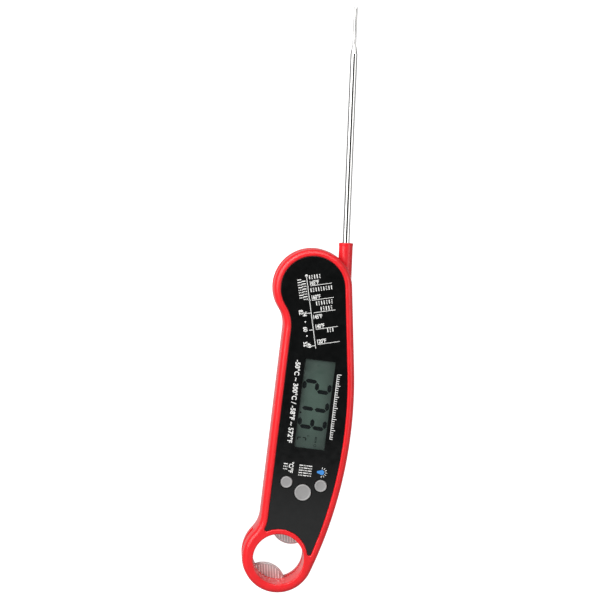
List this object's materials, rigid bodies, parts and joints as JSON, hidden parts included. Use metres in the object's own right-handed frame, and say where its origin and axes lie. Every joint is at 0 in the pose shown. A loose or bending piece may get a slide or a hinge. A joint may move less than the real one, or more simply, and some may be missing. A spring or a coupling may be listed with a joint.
{
  "type": "folding probe thermometer",
  "caption": "Folding instant-read probe thermometer: red grip with display, buttons and magnet, a steel probe that folds out of the head, and a ring with a bottle opener.",
  "frame": {"origin": "centre of the magnet's face on the back", "axes": "+Z out of the display, +Y from the opener ring to the head and the unfolded probe, +X to the reader's right"},
  "size_m": [0.0461, 0.283, 0.018],
  "materials": {
    "red_shell": "satin moulded red",
    "red_arm": "satin moulded red",
    "black_panel": "glossy printed black",
    "clear_window": "clear, slightly reflective",
    "display_glass": "grey-green liquid-crystal display",
    "white_plastic": "matt",
    "led_resin": "clear resin",
    "black_rubber": "matt",
    "board_green": "solder mask",
    "black_epoxy": "semi-gloss",
    "nickel_plate": "plated",
    "sensor_glass": "glass bead",
    "black_plastic": "matt",
    "grey_button": "fine satin",
    "cell_can": "brushed",
    "magnet_plate": "nickel plated",
    "stainless_steel": "fine brushed stainless",
    "screw_steel": "zinc plated",
    "nylon": "matt",
    "cable_sheath": "satin"
  },
  "bodies": {
    "handle": {"back_shell": "red_shell", "front_shell": "red_shell", "face_panel": "black_panel", "display_window": "clear_window", "lcd_glass": "display_glass", "lcd_holder": "white_plastic", "backlight_diffuser": "white_plastic", "backlight_led": "led_resin", "zebra_strip_left": "black_rubber", "zebra_strip_right": "black_rubber", "circuit_board": "board_green", "controller_chip": "black_epoxy", "timing_crystal": "nickel_plate", "reed_switch": "sensor_glass", "button_seal_calibrate": "black_rubber", "button_seal_hold": "black_rubber", "button_seal_backlight": "black_rubber", "switch_calibrate": "nickel_plate", "switch_hold": "nickel_plate", "switch_backlight": "nickel_plate", "battery_cell": "cell_can", "battery_contact_minus": "nickel_plate", "battery_contact_plus": "nickel_plate", "magnet": "magnet_plate", "shell_gasket": "black_rubber", "opener_plate": "stainless_steel", "shell_screw_1": "screw_steel", "shell_screw_2": "screw_steel", "shell_screw_3": "screw_steel", "shell_screw_4": "screw_steel", "pivot_screw": "screw_steel", "friction_washer": "nylon", "hub_seal_back": "black_rubber", "hub_seal_front": "black_rubber", "board_cable": "cable_sheath"},
    "probe": {"probe_arm": "red_arm", "probe_tube": "stainless_steel", "temperature_sensor": "sensor_glass", "sensor_cable": "cable_sheath", "hub_magnet": "magnet_plate"},
    "battery_door": {"battery_door": "red_shell", "battery_door_seal": "black_rubber"},
    "button_calibrate": {"button_calibrate": "grey_button", "switch_plunger_calibrate": "black_plastic"},
    "button_hold": {"button_hold": "grey_button", "switch_plunger_hold": "black_plastic"},
    "button_backlight": {"button_backlight": "grey_button", "switch_plunger_backlight": "black_plastic"}
  },
  "joints": [
    {"name": "probe_fold", "type": "hinge", "parent": "handle", "child": "probe", "pos_m": [-0.0079, 0.0548, 0.009], "axis": [0, 0, 1], "range_deg": [0, 174.87]},
    {"name": "battery_door_twist", "type": "hinge", "parent": "handle", "child": "battery_door", "pos_m": [-0.0003, -0.0314, 0], "axis": [0, 0, -1], "range_deg": [0, 50]},
    {"name": "press_calibrate", "type": "slide", "parent": "handle", "child": "button_calibrate", "axis": [0, 0, -1], "range_m": [0, 0.0005], "stiffness_N_per_m": 2000},
    {"name": "press_hold", "type": "slide", "parent": "handle", "child": "button_hold", "axis": [0, 0, -1], "range_m": [0, 0.0005], "stiffness_N_per_m": 2000},
    {"name": "press_backlight", "type": "slide", "parent": "handle", "child": "button_backlight", "axis": [0, 0, -1], "range_m": [0, 0.0005], "stiffness_N_per_m": 2000}
  ]
}
